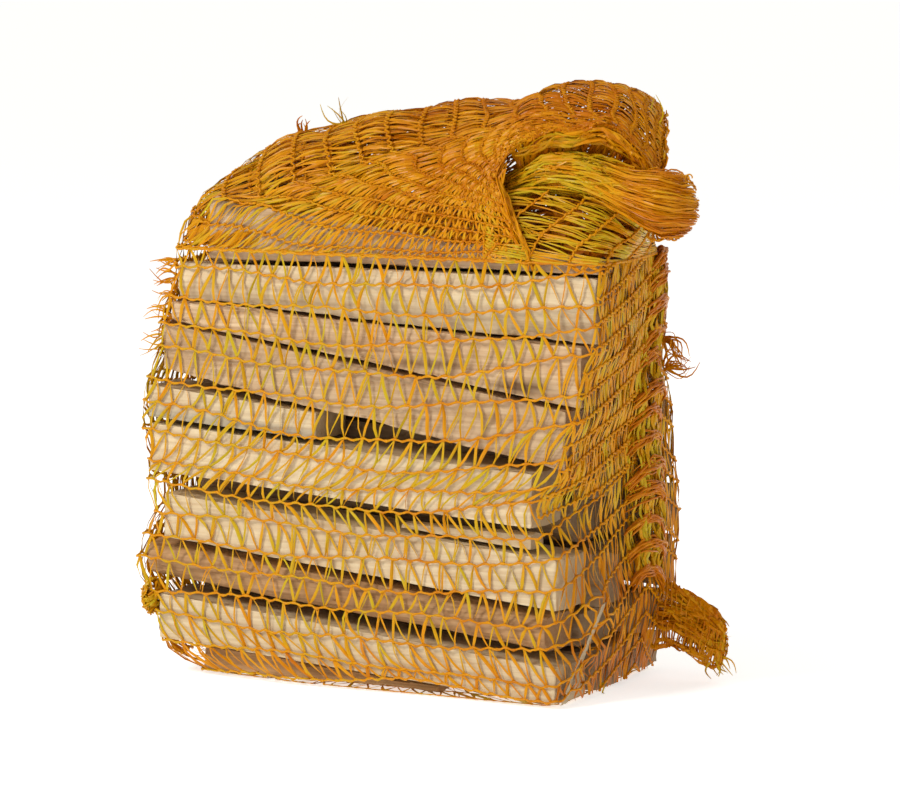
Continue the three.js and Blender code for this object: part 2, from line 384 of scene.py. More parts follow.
def stick_body(node, step):
    """Rings of points along a stick, the way outwards from each, and -1 where the rings run clockwise."""
    left, right = end_outlines(node)
    shares = spaced((left + right) / 2, step)
    low, high = (
        np.array([end[k] * (1 - f) + end[(k + 1) % len(end)] * f for k, f in shares]) for end in (left, right)
    )
    length = np.linalg.norm(high.mean(axis=0) - low.mean(axis=0))
    body = between(low, high, max(6, round(length / (step * 1.25))) + 1)
    run = np.roll(body, -1, axis=1) - np.roll(body, 1, axis=1)
    outward = np.stack([np.zeros(run.shape[:2]), run[..., 2], -run[..., 1]], axis=-1)
    outward /= np.maximum(np.linalg.norm(outward, axis=-1, keepdims=True), 1e-9)
    flip = np.sign((outward * (body - body.mean(axis=1, keepdims=True))).sum(axis=-1).mean())
    return body, outward * flip, flip


def rough(point, along, across, seed):
    """Fractal noise with long cells along the stick."""
    place = Vector((point[0] * along + seed * 7.3, point[1] * across - seed * 3.1, point[2] * across + seed))
    return noise.fractal(place, 0.8, 2.1, 3)


def roughen(node, index, body, outward):
    """Lifts fibres and chips edges along the grain, in mm, and says which points carry bark."""
    fibre, lump, chip = (0.14, 0.35, 1.2) if node in SAWN else (0.55, 1.1, 2.4)
    bend = (np.roll(outward[0], 1, axis=0) * np.roll(outward[0], -1, axis=0)).sum(axis=1)
    depth = body[..., 1]
    bark = (depth > depth.min() + 0.35 * (depth.max() - depth.min())) & (node in BARKED)
    for i, j in np.ndindex(bark.shape):
        point = body[i, j]
        lift = rough(point, 18.0, 330.0, index) * fibre + rough(point, 12.0, 42.0, index + 40) * lump
        if bark[i, j]:
            lift += abs(rough(point, 55.0, 120.0, index + 9)) * 1.6
        if bend[j] < 0.8:
            lift -= 0.15 + max(0.0, rough(point, 60.0, 60.0, index + 77) - 0.1) * chip
        body[i, j] += outward[i, j] * lift * MM
    return bark


def cut_end(body, side, index):
    """Rings that close a saw-cut end inwards, and its middle. side is 0 or -1; its edge gets a chamfer."""
    edge = body[side]
    heart = edge.mean(axis=0)
    inward = 1.0 if side == 0 else -1.0
    caps = []
    for size in CAP_SIZES:
        ring = heart + (edge - heart) * size
        fuzz = np.array([noise.noise(Vector(p) * 400.0 + Vector((index, side, 0))) for p in ring])
        ring[:, 0] -= inward * (0.35 + 0.25 * fuzz) * MM
        caps.append(ring)
    body[side, :, 0] += inward * CHAMFER
    return caps, heart


def band(lower, upper, count, turned=False):
    """Faces between two rings of count points, given where each ring's points start."""
    faces = []
    for j in range(count):
        k = (j + 1) % count
        a, b, c, d = lower + j, lower + k, upper + k, upper + j
        faces.append((a, d, c, b) if turned else (a, b, c, d))
    return faces


def stick_mesh(node, index):
    """A stick in split or sawn wood: its long faces, then each cut end."""
    front = node.startswith("front") or node == "end_splinter"
    body, outward, flip = stick_body(node, FRONT_STEP if front else BACK_STEP)
    bark = roughen(node, index, body, outward)
    ends = [cut_end(body, side, index) for side in (0, -1)]
    rings, count = bark.shape
    points = list(body.reshape(-1, 3))
    faces = [face for i in range(rings - 1) for face in band(i * count, (i + 1) * count, count)]
    for turned, previous, (caps, heart) in zip((True, False), (0, (rings - 1) * count), ends):
        for ring in caps:
            faces += band(previous, len(points), count, turned)
            previous = len(points)
            points.extend(ring)
        hub = len(points)
        points.append(heart)
        for j in range(count):
            a, b = previous + j, previous + (j + 1) % count
            faces.append((a, hub, b) if turned else (a, b, hub))
    mesh = bpy.data.meshes.new(node + "_wood")
    mesh.from_pydata([tuple(p) for p in points], [], faces)
    if flip < 0:
        mesh.flip_normals()
    paint(mesh, "bark", np.concatenate([bark.ravel(), np.zeros(len(points) - bark.size)]))
    paint(mesh, "cut_end", np.arange(len(points)) >= bark.size)
    return mesh, np.array(points)


def paint(mesh, name, values, kind="FLOAT"):
    """Stores a value for each point of a mesh, which the materials read."""
    layer = mesh.attributes.new(name, kind, "POINT")
    key = "vector" if kind == "FLOAT_VECTOR" else "value"
    layer.data.foreach_set(key, np.asarray(values, np.float32).ravel())


def blot(points, middle, radii):
    """A soft round spot on a stick, 1 in its middle and 0 past its radii, which are in mm."""
    gap = ((points - np.array(middle)) / (np.array(radii) * MM)) ** 2
    return np.clip(1.6 * (1 - np.sqrt(gap.sum(axis=1))), 0, 1)


def stick_marks(node, points):
    """Knots, stains and a painted shade: where they lie is a share of the stick's own box."""
    low, high = (np.array(corner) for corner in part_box(node))
    size = high - low

    def at(x, z):
        return (low[0] + x * size[0], low[1], low[2] + z * size[2])

    knot = np.zeros(len(points))
    stain = np.zeros(len(points))
    if node == "front_knotty_stick":
        knot = blot(points, at(0.86, 0.22), (26, 12, 5))
        knot = np.maximum(knot, 0.7 * blot(points, at(0.62, 0.42), (34, 12, 4)))
    if node == "front_top_board":
        knot = blot(points, at(0.06, 0.93), (12, 25, 9))
    if node == "front_ridged_stick":
        # painted shade below the ridge, where the lower facet faces down; it goes into the knot mask
        painted_facet_shade = 0.22 * np.clip((0.56 * size[2] + low[2] - points[:, 2]) / (4 * MM), 0, 1)
        knot = np.maximum(painted_facet_shade, 0.6 * blot(points, at(0.2, 0.25), (30, 12, 5)))
    if node == "front_short_stick":
        slope = (points[:, 0] - low[0]) / size[0]
        stain = np.clip((low[2] + (0.58 - 0.3 * slope) * size[2] - points[:, 2]) / (3 * MM), 0, 1)
    return knot, stain


def make_stick(node, index, draw):
    """One finished stick with its own random tone, grain and place in the log it was split from; sticks
    behind the front ones are painted darker, as shade.
    """
    mesh, points = stick_mesh(node, index)
    knot, stain = stick_marks(node, points)
    paint(mesh, "knot", knot)
    paint(mesh, "stain", stain)
    # the factor 0.66 on the sticks behind the front is painted shade for the shadowed inside of the bundle
    tone_and_shade = draw.uniform(0.88, 1.02) * (1.0 if node.startswith("front") else 0.66)
    paint(mesh, "tone_and_shade", np.full(len(points), tone_and_shade))
    shift = draw.uniform(-1, 1, 3)
    paint(mesh, "grain_shift", np.tile(shift, (len(points), 1)), "FLOAT_VECTOR")
    low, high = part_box(node)
    swing = draw.uniform(0, 2 * math.pi)
    reach = draw.uniform(25, 60) * MM
    centre = (low + high) / 2
    middle = (0.0, centre.y + reach * math.cos(swing), centre.z + reach * math.sin(swing))
    paint(mesh, "log_middle", np.tile(middle, (len(points), 1)), "FLOAT_VECTOR")
    stick = bpy.data.objects.new(node + "_wood", mesh)
    scene.collection.objects.link(stick)
    mesh.materials.append(WOODS[SLOT_OF[node]])
    mesh.shade_smooth()
    mesh.set_sharp_from_angle(angle=SHARP_ANGLE)
    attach(stick, "root")
    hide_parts(node)
    return stick


stick_draw = np.random.default_rng(11)
sticks = [make_stick(node, index, stick_draw) for index, node in enumerate(STICKS)]


# ---------------------------------------------------------------- where the net lies

CLEAR = 0.9 * MM  # from the wood to the middle of a strand
WALES = 91  # zigzags in one turn round the bag
ROW_SPACING = 14.5 * MM
LOWEST_ROW = 4 * MM
SEAM_Y = 24 * MM  # the seam runs up the right end, nearer the back
AROUND = 320  # points in one turn
TOP_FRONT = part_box("front_top_board")[0].z
SIDE_TOP = TOP_FRONT + 6 * MM
LEVELS = np.linspace(3 * MM, SIDE_TOP, 47)


def gather_wood():
    """All sticks' points and faces as one list of each."""
    points, faces = [], []
    for stick in sticks:
        start = len(points)
        points.extend(v.co.copy() for v in stick.data.vertices)
        faces.extend([start + k for k in face.vertices] for face in stick.data.polygons)
    return points, faces


wood_points, wood_faces = gather_wood()
WOOD = BVHTree.FromPolygons(wood_points, wood_faces)
WOOD_POINTS = np.array([tuple(p) for p in wood_points])


def keep_off_wood(grid):
    """The grid with each point that is inside a stick, or too close to one, moved out of it."""
    points = grid.reshape(-1, 3)
    for k, point in enumerate(points):
        place = Vector(point)
        nearest, normal, _, gap = WOOD.find_nearest(place, 30 * MM)
        if nearest is not None and (gap < CLEAR or (place - nearest).dot(normal) < 0):
            points[k] = nearest + normal * CLEAR
    return points.reshape(grid.shape)


def smooth(low, high, value):
    """0 at low and 1 at high with soft ends; low may be above high."""
    share = np.clip((value - low) / (high - low), 0, 1)
    return share * share * (3 - 2 * share)


def hull(flat):
    """The convex hull of points in a plane, anticlockwise."""
    flat = sorted(set(map(tuple, flat.round(5))))

    def chain(points):
        kept = []
        for p in points:
            while len(kept) > 1:
                (ax, ay), (bx, by) = kept[-2], kept[-1]
                if (bx - ax) * (p[1] - ay) - (by - ay) * (p[0] - ax) > 0:
                    break
                kept.pop()
            kept.append(p)
        return kept

    return np.array(chain(flat)[:-1] + chain(flat[::-1])[:-1])


def lengths(path):
    """The length run from the first point of a path to each point."""
    return np.concatenate([[0], np.cumsum(np.linalg.norm(np.diff(path, axis=0), axis=1))])


def spread(path, count, **ends):
    """A path as evenly spaced points."""
    run = lengths(path)
    wanted = np.linspace(0, run[-1], count, **ends)
    return np.stack([np.interp(wanted, run, path[:, axis]) for axis in range(path.shape[1])], axis=1)


def evenly(loop, count, start):
    """A closed loop as evenly spaced points, from the place nearest to start."""
    first = int(np.argmin(np.linalg.norm(loop - start, axis=1)))
    loop = np.roll(loop, -first, axis=0)
    return spread(np.vstack([loop, loop[:1]]), count, endpoint=False)


def taut_loop(level):
    """The tight loop round the sticks at one height: u runs from the seam round the back."""
    near = WOOD_POINTS[np.abs(WOOD_POINTS[:, 2] - level) < 11 * MM][:, :2]
    loop = hull(near)
    middle = loop.mean(axis=0)
    dense = evenly(loop, 900, np.array([loop[:, 0].max(), SEAM_Y]))
    outward = dense - middle
    dense = dense + outward / np.linalg.norm(outward, axis=1, keepdims=True) * 1.2 * MM
    seam = int(np.argmin(np.abs(dense[:, 1] - SEAM_Y) + 1.0 * (dense[:, 0] < middle[0])))
    return evenly(dense, AROUND, dense[seam])


def billow(x, height):
    """How far the slack left end stands out between the rows, in metres. height is in mm."""
    swell = 1.8 + 1.1 * np.sin(height / 6.9) + 0.8 * np.sin(height / 17.0)
    swell = swell + 3.5 * smooth(44, 56, height) * smooth(112, 96, height)
    return swell * smooth(-95 * MM, -133 * MM, x) * smooth(22, 45, height) * smooth(226, 190, height) * MM


def side_surface():
    """Rows of points up the bag's four sides, drawn tight round the sticks."""
    grid = np.zeros((len(LEVELS), AROUND, 3))
    for row, level in enumerate(LEVELS):
        grid[row, :, :2] = taut_loop(level)
        grid[row, :, 2] = level
    for _ in range(3):
        grid[1:-1] = 0.25 * grid[:-2] + 0.5 * grid[1:-1] + 0.25 * grid[2:]
    grid = keep_off_wood(grid)
    grid[:, :, 2] = LEVELS[:, None]
    # in front it ends along the lower edge of the lowest board
    x, y = grid[0, :, 0], grid[0, :, 1]
    edge = np.interp(x, (-60 * MM, 20 * MM, 99 * MM), (0, 4.5 * MM, 0)) * (y < -55 * MM)
    grid[:, :, 2] += edge * np.clip((20 * MM - LEVELS[:, None]) / (17 * MM), 0, 1)
    grid[:, :, 0] -= billow(grid[:, :, 0], LEVELS[:, None] / MM)
    return grid


class Surface:
    """A grid of points that strands are laid on. u runs along rows and v from row to row, 0 to 1."""

    def __init__(self, grid, closed, inside=(0, 0, 0.13)):
        self.grid = grid
        self.closed = closed
        if closed:
            wrapped = np.concatenate([grid[:, -2:], grid, grid[:, :2]], axis=1)
            along_u = np.gradient(wrapped, axis=1)[:, 2:-2]
        else:
            along_u = np.gradient(grid, axis=1)
        normal = np.cross(along_u, np.gradient(grid, axis=0))
        normal /= np.maximum(np.linalg.norm(normal, axis=2, keepdims=True), 1e-12)
        if ((grid - np.array(inside)) * normal).sum() < 0:
            normal = -normal
        self.normal = normal

    def sample(self, table, u, v):
        """The table's value at each u, v, between its four nearest points."""
        rows, columns = table.shape[:2]
        v = np.clip(v, 0, 1) * (rows - 1)
        v0 = np.minimum(v.astype(int), rows - 2)
        fv = (v - v0)[..., None]
        if self.closed:
            u = np.mod(u, 1.0) * columns
            u0 = u.astype(int) % columns
            u1 = (u0 + 1) % columns
            fu = (u - np.floor(u))[..., None]
        else:
            u = np.clip(u, 0, 1) * (columns - 1)
            u0 = np.minimum(u.astype(int), columns - 2)
            u1 = u0 + 1
            fu = (u - u0)[..., None]
        low = table[v0, u0] * (1 - fu) + table[v0, u1] * fu
        high = table[v0 + 1, u0] * (1 - fu) + table[v0 + 1, u1] * fu
        return low * (1 - fv) + high * fv

    def at(self, u, v):
        """Place and normal at each u, v."""
        u, v = np.broadcast_arrays(u, v)
        normal = self.sample(self.normal, u, v)
        normal = normal / np.maximum(np.linalg.norm(normal, axis=-1, keepdims=True), 1e-9)
        return self.sample(self.grid, u, v), normal

    def under(self, depth, low, high):
        """A copy of the columns from share low to share high, a depth further in."""
        columns = self.grid.shape[1]
        keep = slice(int(low * columns), int(high * columns))
        return Surface(self.grid[:, keep] - self.normal[:, keep] * depth, False)


def through(points, count):
    """An open path through a few points, evenly spaced and with its bends eased. In mm in, metres out."""
    path = spread(np.array(points, float) * MM, count)
    for _ in range(max(2, count // 12)):
        path[1:-1] = 0.25 * path[:-2] + 0.5 * path[1:-1] + 0.25 * path[2:]
    return path


# ---------------------------------------------------------------- strands

CHAIN_RADIUS = 0.74 * MM
CHAIN_STEPS = 6  # points to one zigzag
TAPE_HALF_WIDTH = 0.9 * MM
TAPE_FLATNESS = 0.2  # thickness over width
TAPE_POINTS = 4
FLOOR_GAP = 1.0 * MM  # no strand's middle is lower than this
LEANS = (-0.5, -0.45, -0.3, -0.15, 0.2, 0.45)  # how far a row's zigzags lean, in zigzags


class Strands:
    """Collects strand paths as one edge mesh that a Geometry Nodes tree gives its body."""

    def __init__(self):
        self.points, self.facing, self.radius, self.twist, self.shade = [], [], [], [], []
        self.edges = []
        self.count = 0

    def add(self, paths, facing, radius, twist, shade, closed=False):
        """paths and facing are (strands, points, 3); the rest fit (strands, points)."""
        strands, length = paths.shape[:2]
        start = self.count + np.arange(strands)[:, None] * length
        step = np.arange(length - 1)[None]
        self.edges.append(np.stack([start + step, start + step + 1], axis=-1).reshape(-1, 2))
        if closed:
            self.edges.append(np.stack([start[:, 0] + length - 1, start[:, 0]], axis=-1))
        for store, value in ((self.radius, radius), (self.twist, twist), (self.shade, shade)):
            store.append(np.broadcast_to(value, (strands, length)).reshape(-1))
        raised = np.maximum(paths[..., 2:], FLOOR_GAP)
        self.points.append(np.concatenate([paths[..., :2], raised], axis=-1).reshape(-1, 3))
        self.facing.append(facing.reshape(-1, 3))
        self.count += strands * length

    def edge_mesh(self, name):
        """All paths as one mesh of edges, with what the tree and the material read."""
        mesh = bpy.data.meshes.new(name)
        points = np.concatenate(self.points)
        edges = np.concatenate(self.edges)
        mesh.vertices.add(len(points))
        mesh.vertices.foreach_set("co", points.astype(np.float32).ravel())
        mesh.edges.add(len(edges))
        mesh.edges.foreach_set("vertices", edges.astype(np.int32).ravel())
        paint(mesh, "strand_radius", np.concatenate(self.radius))
        paint(mesh, "strand_twist", np.concatenate(self.twist))
        paint(mesh, "shade", np.concatenate(self.shade))
        paint(mesh, "facing", np.concatenate(self.facing), "FLOAT_VECTOR")
        mesh.update()
        return mesh


def build_strand_tree():
    """Geometry Nodes: edge paths become closed strands with a round or a flat section."""
    tree = bpy.data.node_groups.new("knitted_strand", "GeometryNodeTree")
    inputs = (
        ("Geometry", "NodeSocketGeometry"),
        ("Sides", "NodeSocketInt"),
        ("Flatness", "NodeSocketFloat"),
        ("Material", "NodeSocketMaterial"),
    )
    for label, kind in inputs:
        tree.interface.new_socket(label, in_out="INPUT", socket_type=kind)
    tree.interface.new_socket("Geometry", in_out="OUTPUT", socket_type="NodeSocketGeometry")
    s = Shading(tree)
    given, out = s.node("NodeGroupInput"), s.node("NodeGroupOutput")

    def named(name, kind="FLOAT"):
        item = s.node("GeometryNodeInputNamedAttribute", data_type=kind)
        item.inputs["Name"].default_value = name
        return item.outputs["Attribute"]

    def step(kind, *feeds, **settings):
        """A node with what feeds each of its inputs; gives its first output."""
        item = s.node(kind, **settings)
        for label, source in feeds:
            s.feed(item.inputs[label], source)
        return item.outputs[0]

    path = step("GeometryNodeMeshToCurve", ("Mesh", given.outputs["Geometry"]))
    facing = named("facing", "FLOAT_VECTOR")
    path = step("GeometryNodeSetCurveNormal", ("Curve", path), ("Normal", facing), mode="FREE")
    path = step("GeometryNodeSetCurveTilt", ("Curve", path), ("Tilt", named("strand_twist")))
    path = step("GeometryNodeSetCurveRadius", ("Curve", path), ("Radius", named("strand_radius")))
    sides = ("Resolution", given.outputs["Sides"])
    section = step("GeometryNodeCurvePrimitiveCircle", sides, ("Radius", 1.0), mode="RADIUS")
    squash = step("ShaderNodeCombineXYZ", ("X", given.outputs["Flatness"]), ("Y", 1.0), ("Z", 1.0))
    section = step("GeometryNodeTransform", ("Geometry", section), ("Scale", squash))
    body = s.node("GeometryNodeCurveToMesh")
    body.inputs["Fill Caps"].default_value = True
    s.join(path, body.inputs["Curve"])
    s.join(section, body.inputs["Profile Curve"])
    if "Scale" in body.inputs:
        s.join(named("strand_radius"), body.inputs["Scale"])
    mesh = step("GeometryNodeRealizeInstances", ("Geometry", body.outputs["Mesh"]))
    mesh = step("GeometryNodeSetMaterial", ("Geometry", mesh), ("Material", given.outputs["Material"]))
    s.join(mesh, out.inputs["Geometry"])
    return tree


STRAND_TREE = build_strand_tree()


def tape_material():
    """Gold in thin layers, orange to brown where it lies deep or carries painted shade; each strand carries
    its own shade.
    """
    material = bpy.data.materials.new("knitted tape")
    material.use_nodes = True
    s = Shading(material.node_tree)
    shader = material.node_tree.nodes["Principled BSDF"]
    drift = s.noise(s.node("ShaderNodeTexCoord").outputs["Object"], 60.0, 3.0)
    depth = s.math("ADD", s.attribute("shade"), s.ramp(drift, 0.35, 0.65, -0.16, 0.16))
    gold = s.mix(s.ramp(depth, 0.0, 0.5), (0.52, 0.37, 0.010, 1), (0.66, 0.27, 0.002, 1))
    color = s.mix(s.ramp(depth, 0.5, 1.0), gold, (0.50, 0.14, 0.0, 1))
    s.join(color, shader.inputs["Base Color"])
    shader.inputs["Roughness"].default_value = 0.3
    shader.inputs["Specular IOR Level"].default_value = 0.14
    return material


TAPE = tape_material()


def strand_piece(name, strands, sides, flatness):
    """A finished net piece: the tree's result as a plain mesh."""
    source = bpy.data.objects.new(name + "_paths", strands.edge_mesh(name + "_paths"))
    scene.collection.objects.link(source)
    modifier = source.modifiers.new("knit", "NODES")
    modifier.node_group = STRAND_TREE
    wanted = {"Sides": sides, "Flatness": flatness, "Material": TAPE}
    for item in STRAND_TREE.interface.items_tree:
        if item.item_type == "SOCKET" and item.in_out == "INPUT" and item.name in wanted:
            modifier[item.identifier] = wanted[item.name]
    bpy.context.view_layer.update()
    mesh = bpy.data.meshes.new_from_object(source.evaluated_get(bpy.context.evaluated_depsgraph_get()))
    bpy.data.objects.remove(source)
    mesh.name = name
    piece = bpy.data.objects.new(name, mesh)
    scene.collection.objects.link(piece)
    if flatness > 0.4:  # a flat tape shows its faces
        mesh.shade_smooth()
    else:
        mesh.shade_flat()
    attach(piece, "root")
    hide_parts(BAG)
    print(name, sum(len(face.vertices) - 2 for face in mesh.polygons), "triangles")


net_draw = np.random.default_rng(5)


def drawn(low, high, count):
    """An even random value for each of count strands."""
    return net_draw.uniform(low, high, (count, 1))


def strayed(size, count, middle=0.0):
    """A random value about a middle for each of count strands."""
    return net_draw.normal(middle, size, (count, 1))


def tint_of(shade, points):
    """shade is one number or a rule that reads it off the place, in mm."""
    return shade(points / MM) if callable(shade) else np.full(points.shape[:-1], shade)


def moved(shade, change):
    """The same rule with its shade moved by a change."""
    return lambda points: shade(points) + change


def lay_chain(strands, surface, u, v, stitch, pull, shade, thick=1.0, closed=False):
    """One chain of stitches along u. pull is how far each zigzag draws it up and down, in v."""
    phase = 2 * math.pi * stitch
    points, normals = surface.at(u, v + pull * np.cos(phase))
    knot = 0.5 + 0.5 * np.cos(2 * phase)
    points = points + normals * (0.35 * MM + 0.25 * MM * knot)[:, None]
    points += net_draw.normal(0, 0.13 * MM, points.shape)
    radius = CHAIN_RADIUS * thick * (0.8 + 0.35 * knot**2 + 0.15 * net_draw.uniform(-1, 1, len(u)))
    tint = tint_of(shade, points) + 0.14 * net_draw.uniform(-1, 1, len(u)) + 0.1 * knot
    strands.add(points[None], normals[None], radius[None], 0.0, tint[None], closed)


def lay_tapes(strands, surface, low, high, shade, width=1.0, slack=0.0):
    """Flat tapes, one from each low (u, v) to its high (u, v)."""
    count = len(low[0])
    share = np.linspace(0, 1, TAPE_POINTS)[None]
    ends = [[np.broadcast_to(value, count)[:, None] for value in end] for end in (low, high)]
    u, v = (a * (1 - share) + b * share for a, b in zip(*ends))
    points, normals = surface.at(u, v)
    bow = np.sin(np.pi * share)[..., None]
    points = points + normals * (0.2 * MM + slack * bow * net_draw.uniform(0.2, 1.0, (count, 1, 1)))
    side = np.cross(normals, points[:, -1:] - points[:, :1])
    side /= np.maximum(np.linalg.norm(side, axis=-1, keepdims=True), 1e-9)
    points += side * bow * net_draw.normal(0, 0.6 * MM, (count, 1, 1))
    turn = strayed(0.4, count) + strayed(0.9, count) * (share - 0.5)
    taper = 1 - 0.3 * np.abs(2 * share - 1) ** 3
    radius = TAPE_HALF_WIDTH * width * drawn(0.5, 1.15, count) * taper
    tint = tint_of(shade, points) + strayed(0.13, count) + 0.12 * np.abs(2 * share - 1)
    strands.add(points, normals, radius, turn, tint)


def wander(lines, points, size):
    """Smooth sideways drift for each line."""
    share = np.linspace(0, 1, points)[None, :, None]
    drift = np.zeros((lines, points, 3))
    for turns in (1, 2, 4):
        phase = net_draw.uniform(0, 2 * math.pi, (lines, 1, 3))
        drift += np.sin(2 * math.pi * turns * share + phase) / turns
    return drift * size


def lay_lines(strands, surface, u, v, width, shade, lift=0.3 * MM, drift=0.0, twist=0.5):
    """Loose strands: u, v and lift fit (lines, points)."""
    points, normals = surface.at(u, v)
    lines, length = points.shape[:2]
    lift = np.broadcast_to(lift, (lines, length))
    points = points + normals * lift[..., None] + wander(lines, length, drift)
    along = np.linspace(-1, 1, length)
    radius = width * drawn(0.6, 1.15, lines) * (1 - 0.35 * np.abs(along) ** 6)
    turn = strayed(twist, lines) + strayed(twist, lines) * along
    tint = tint_of(shade, points) + strayed(0.12, lines)
    strands.add(points, normals, radius, turn, tint)


def straight(turn):
    """Evenly spaced zigzags: u is the share of the way round."""
    return turn


def knit(
    net, surface, rows, wales, level, shade, chain_shades, place=straight, closed=False, width=1.0, slack=0.0
):
    """Rows of chains with zigzag tapes between them, the way the net is knitted.

    net is its chains and tapes, level gives a row's v at each u, place gives the u of each share of the way
    round, and chain_shades are the chains' shades left and right of the middle."""
    chains, tapes = net
    pull = 0.6 * MM / np.linalg.norm(np.diff(surface.grid, axis=0), axis=2).sum(axis=0).mean()
    stitch = np.arange(wales * CHAIN_STEPS + (0 if closed else 1)) / CHAIN_STEPS
    foot = np.arange(wales)

    def chain_shade(points):
        return np.where(points[..., 0] > 0, chain_shades[1], chain_shades[0])

    def ends(low, high, row):
        a, b = place(low / wales), place(high / wales)
        return (a, level(a, row)), (b, level(b, row + 1))

    for row in range(rows):
        u = place(stitch / wales)
        lay_chain(chains, surface, u, level(u, row), stitch, pull, chain_shade, closed=closed)
        if row + 1 == rows:
            break
        lean = net_draw.choice(LEANS)
        low = foot + net_draw.normal(0, 0.06, wales)
        high = foot + 0.5 + lean + net_draw.normal(0, 0.05, wales)
        for start in (low, low + 1):
            lay_tapes(tapes, surface, *ends(start, high, row), shade, width, slack)
        doubled = net_draw.random(wales) < 0.22
        pair = ends((low + 0.15)[doubled], (high + 0.2)[doubled], row)
        lay_tapes(tapes, surface, *pair, shade, 0.5 * width, 1.2 * MM)


# ---------------------------------------------------------------- the four sides of the net

SAG_AT = (4, 18, 60, 105, 125, 150, 175, 232)  # how the rows of the front hang, by their height in mm
SAG_DIP = (0, 2, 4, 7, 12, 13, 10, 4)
SAG_RISE = (0, -6, -2, 0, -7, -3, 6, 4)
CLIMB = 34 * MM  # how far the rows climb the right end to the seam
CLIMB_FRONT = 0.86  # share of the way round where they start, on the front's side
CLIMB_BACK = 0.1
SIDE_ROWS = int((SIDE_TOP - LOWEST_ROW) / ROW_SPACING) + 2

side = Surface(side_surface(), True)
side_height = LEVELS[-1] - LEVELS[0]


def wale_table():
    """Zigzags crowd together on the gathered right end."""
    u = np.linspace(0, 1, 1441)
    crowd = 1 + 0.9 * (smooth(0.89, 0.94, u) + smooth(0.09, 0.06, u))
    run = np.concatenate([[0], np.cumsum((crowd[1:] + crowd[:-1]) / 2)])
    return u, run / run[-1]


WALE_U, WALE_RUN = wale_table()


def side_place(turn):
    """The u of a zigzag, from its share of the way round."""
    return np.floor(turn) + np.interp(np.mod(turn, 1.0), WALE_RUN, WALE_U)


def row_sway(u, row):
    """How far a row wanders from level, in metres."""
    u = np.mod(u, 1.0)
    from_front = np.clip((u - CLIMB_FRONT) / (1 - CLIMB_FRONT), 0, 1)
    from_back = np.clip((CLIMB_BACK - u) / CLIMB_BACK, 0, 1)
    front = np.clip((u - 0.53) / 0.33, 0, 1)
    height = (LOWEST_ROW + row * ROW_SPACING) / MM
    dip = np.interp(height, SAG_AT, SAG_DIP) * np.sin(math.pi * front**1.3)
    rise = np.interp(height, SAG_AT, SAG_RISE) * front**2 * (1 - from_front)
    waves = np.sin(2 * math.pi * (u * 3 + row * 0.37)) + np.sin(2 * math.pi * (u * 7 + row * 0.61))
    return CLIMB * (from_front**1.3 + from_back**1.3) + (rise - dip) * MM + 1.1 * MM * waves


def side_v(u, row):
    """A row's v at each u; the last row is the sides' top edge."""
    share = (LOWEST_ROW + row * ROW_SPACING + row_sway(u, row) - LEVELS[0]) / side_height
    return np.ones_like(share) if row == SIDE_ROWS - 1 else share


def side_shade(points):
    """Gold in front, deeper on the gathered right end, where it is partly painted shade, with a painted
    shadow low on that end, and deeper along the bottom.
    """
    x, z = points[..., 0], points[..., 2]
    end = smooth(90, 108, x)
    # 0.2 * end is gathered net and painted shade on the right end; 0.3 * end low down is a painted shadow
    return 0.22 + 0.2 * end + 0.3 * end * smooth(110, 40, z) + 0.35 * smooth(30, 8, z)


side_net = side_chains, side_tapes = Strands(), Strands()
knit(side_net, side, SIDE_ROWS, WALES, side_v, side_shade, (0.36, 0.56), side_place, True)


def lay_climbing_row(row):
    """A row that leaves the lower edge and shows only where it climbs to the seam."""
    first, last = int(0.7 * WALES), int(1.08 * WALES)
    stitch = np.arange(first * CHAIN_STEPS, last * CHAIN_STEPS) / CHAIN_STEPS
    u = side_place(stitch / WALES)
    v = side_v(u, row)
    shown = v > 0
    lay_chain(side_chains, side, u[shown], v[shown], stitch[shown], 0.002, 0.7)
    foot = np.arange(first, last) + net_draw.normal(0, 0.1, last - first)
    for reach in (0.5, -0.5):
        a, b = side_place(foot / WALES), side_place((foot + reach) / WALES)
        low, high = np.clip(side_v(a, row), 0, 1), side_v(b, row + 1)
        shown = high - low > 0.02
        lay_tapes(side_tapes, side, (a[shown], low[shown]), (b[shown], high[shown]), side_shade)


for row in (-1, -2):
    lay_climbing_row(row)

# the gathered net lies double over the upper part of the right end
knit(
    side_net, side.under(-0.7 * MM, 0.875, 0.985), 11, 20,
    lambda u, row: 0.42 + 0.056 * row + 0.1 * np.clip(u, 0, 1), moved(side_shade, -0.05), (0.31, 0.51),
)
# net bunched up on the left end, behind the outer layer
knit(
    side_net, side.under(2.2 * MM, 0.37, 0.55), 17, 26,
    lambda u, row: 0.02 + 0.96 * row / 16 + 0.01 * np.sin(9 * u + row),
    moved(side_shade, 0.1), (0.46, 0.66), width=1.3,
)
strand_piece("net_side_chains", side_chains, 5, 1.0)
strand_piece("net_side_tapes", side_tapes, 4, TAPE_FLATNESS)


# ---------------------------------------------------------------- the hood over the sticks' tops

CREST_X = (-140, -136, -129, -112, -82, -27, 9, 45, 71, 89, 107, 118, 127, 135, 139)
CREST_Z = (232, 245, 261, 277, 292, 305, 309, 311, 320, 324, 321, 310, 297, 279, 260)
HOOD_ROWS = 20
HOOD_WALES = 112
HOOD_HALF_DEPTH = 68.5
HOOD_START = (83, -67)  # in plan, where its lower edge leaves the sides' top edge in front
HOOD_END = (112, 70)
HOOD_FOLD = [(68, -66), (59, -60), (61, -56), (66, -52)]
LIP = {  # the hood's lower right edge, in plan, by its share of the way round
    0.0: (66, -52), 0.08: (79, -47), 0.13: (86, -43), 0.2: (100, -39), 0.27: (117, -34), 0.33: (135, -26),
    0.4: (134, -18), 0.5: (128, -2), 0.6: (121, 13), 0.75: (112, 32), 1.0: (104, 54),
}


